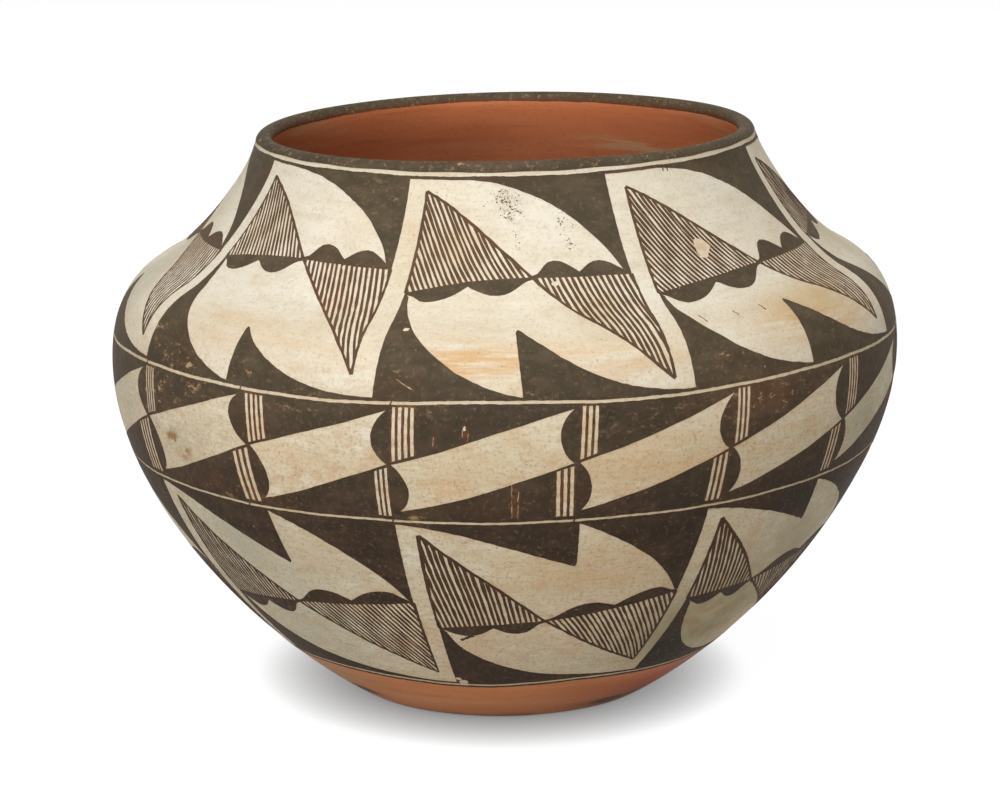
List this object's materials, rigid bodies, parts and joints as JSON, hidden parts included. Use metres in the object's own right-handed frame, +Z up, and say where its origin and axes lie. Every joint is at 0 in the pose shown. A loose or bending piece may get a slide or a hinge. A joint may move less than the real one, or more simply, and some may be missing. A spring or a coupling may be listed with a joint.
{
  "type": "pueblo pottery jar",
  "caption": "Round coil-built pottery water jar with a wide shoulder, short sloping neck, open mouth, dented base, slip coats and a painted lip; holds water or dry food.",
  "frame": {"origin": "centre of the flat ring that the jar stands on, on the jar's axis", "axes": "+Z up along the jar's axis, towards the mouth; -Y is the side seen in the picture"},
  "size_m": [0.3, 0.3, 0.216],
  "materials": {
    "fired_clay": "matte, scraped",
    "white_slip": "stone-polished satin",
    "red_slip": "rubbed satin",
    "black_paint": "matte mineral paint"
  },
  "bodies": {
    "root": {"moulded_base": "fired_clay", "coil_course_1": "fired_clay", "coil_course_2": "fired_clay", "coil_course_3": "fired_clay", "coil_course_4": "fired_clay", "coil_course_5": "fired_clay", "coil_course_6": "fired_clay", "coil_course_7": "fired_clay", "coil_course_8": "fired_clay", "coil_course_9": "fired_clay", "rim_coil": "fired_clay", "white_slip_body": "white_slip", "red_slip_underbody": "red_slip", "red_slip_mouth": "red_slip", "black_rim_paint": "black_paint"}
  },
  "joints": []
}
